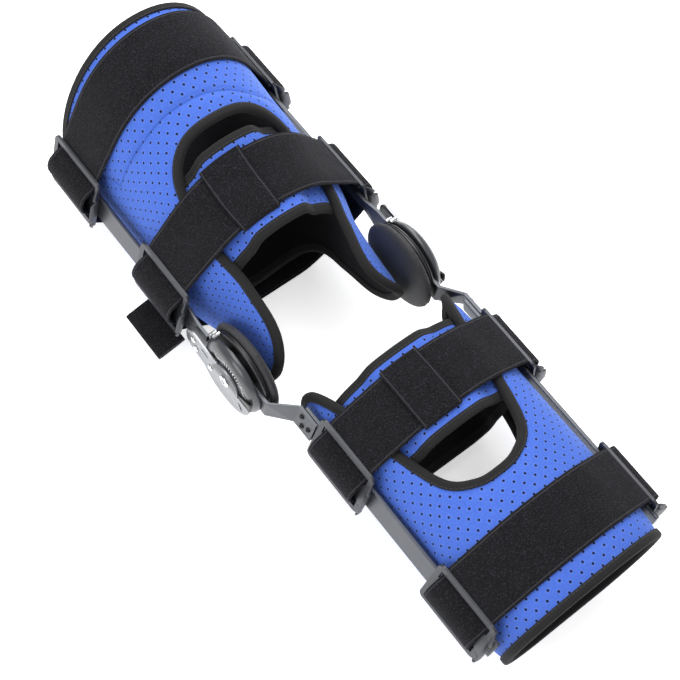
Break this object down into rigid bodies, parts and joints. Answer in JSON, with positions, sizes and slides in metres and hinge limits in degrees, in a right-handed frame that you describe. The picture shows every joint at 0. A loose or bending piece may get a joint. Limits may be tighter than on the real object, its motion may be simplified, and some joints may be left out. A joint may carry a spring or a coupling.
{
  "type": "hinged knee brace",
  "caption": "Post-operative knee brace with padded thigh and calf wraps, loop-fabric straps, side bars and range-of-motion hinges, laid flat with its front up.",
  "frame": {"origin": "middle of the footprint, on the surface that the straps rest on", "axes": "+Y from the knee to the thigh end, +Z to the front of the leg, +X along the knee axis to the wearer-facing right of the picture"},
  "size_m": [0.227, 0.541, 0.1816],
  "materials": {
    "perforated_blue_foam": "fine-knit blue cloth over foam, perforated, matte",
    "black_binding_tape": "sewn edge tape, matte",
    "black_loop_fabric": "brushed loop pile, matte",
    "black_padding": "smooth soft padding, low sheen",
    "black_plastic": "moulded, low gloss",
    "satin_aluminium": "satin anodised",
    "dark_satin_aluminium": "dark satin anodised",
    "charcoal_plastic": "moulded, glossy",
    "pale_satin_aluminium": "pale satin, fine turned grooves",
    "chrome": "polished"
  },
  "bodies": {
    "thigh": {"thigh_wrap": "perforated_blue_foam", "thigh_knee_binding": "black_binding_tape", "thigh_rim_binding": "black_binding_tape", "thigh_bar_left": "satin_aluminium", "upper_thigh_guide_left": "dark_satin_aluminium", "lower_thigh_guide_left": "dark_satin_aluminium", "thigh_bar_right": "satin_aluminium", "upper_thigh_guide_right": "dark_satin_aluminium", "lower_thigh_guide_right": "dark_satin_aluminium", "upper_thigh_strap": "black_loop_fabric", "lower_thigh_strap": "black_loop_fabric", "lower_thigh_strap_tail": "black_loop_fabric", "thigh_front_pad": "perforated_blue_foam", "thigh_pad_sleeve": "black_loop_fabric", "condyle_pad_left": "black_padding", "hinge_back_disc_left": "black_plastic", "hinge_dial_left": "charcoal_plastic", "hinge_cover_left": "pale_satin_aluminium", "hinge_pointer_left": "black_plastic", "hinge_pivot_left": "chrome", "cover_rivet_end_front_left": "chrome", "cover_rivet_end_back_left": "chrome", "cover_rivet_inner_left": "chrome", "rom_stop_upper_left": "chrome", "rom_stop_lower_left": "chrome", "condyle_pad_right": "black_padding", "hinge_back_disc_right": "black_plastic", "hinge_dial_right": "charcoal_plastic", "hinge_cover_right": "pale_satin_aluminium", "hinge_pointer_right": "black_plastic", "hinge_pivot_right": "chrome", "cover_rivet_end_front_right": "chrome", "cover_rivet_end_back_right": "chrome", "cover_rivet_inner_right": "chrome", "rom_stop_upper_right": "chrome", "rom_stop_lower_right": "chrome"},
    "calf": {"calf_wrap": "perforated_blue_foam", "calf_knee_binding": "black_binding_tape", "calf_rim_binding": "black_binding_tape", "calf_bar_left": "satin_aluminium", "upper_calf_guide_left": "dark_satin_aluminium", "lower_calf_guide_left": "dark_satin_aluminium", "calf_bar_right": "satin_aluminium", "upper_calf_guide_right": "dark_satin_aluminium", "lower_calf_guide_right": "dark_satin_aluminium", "upper_calf_strap": "black_loop_fabric", "lower_calf_strap": "black_loop_fabric", "calf_front_pad": "perforated_blue_foam", "calf_back_pad": "black_padding", "calf_pad_sleeve": "black_loop_fabric", "hinge_arm_left": "satin_aluminium", "arm_screw_front_left": "black_plastic", "arm_screw_back_left": "black_plastic", "arm_screw_end_left": "black_plastic", "hinge_arm_right": "satin_aluminium", "arm_screw_front_right": "black_plastic", "arm_screw_back_right": "black_plastic", "arm_screw_end_right": "black_plastic"}
  },
  "joints": [
    {"name": "knee_flexion", "type": "hinge", "parent": "thigh", "child": "calf", "pos_m": [0.00417, 0.0205, 0.0705], "axis": [1, 0, 0], "range_deg": [0, 90]}
  ]
}
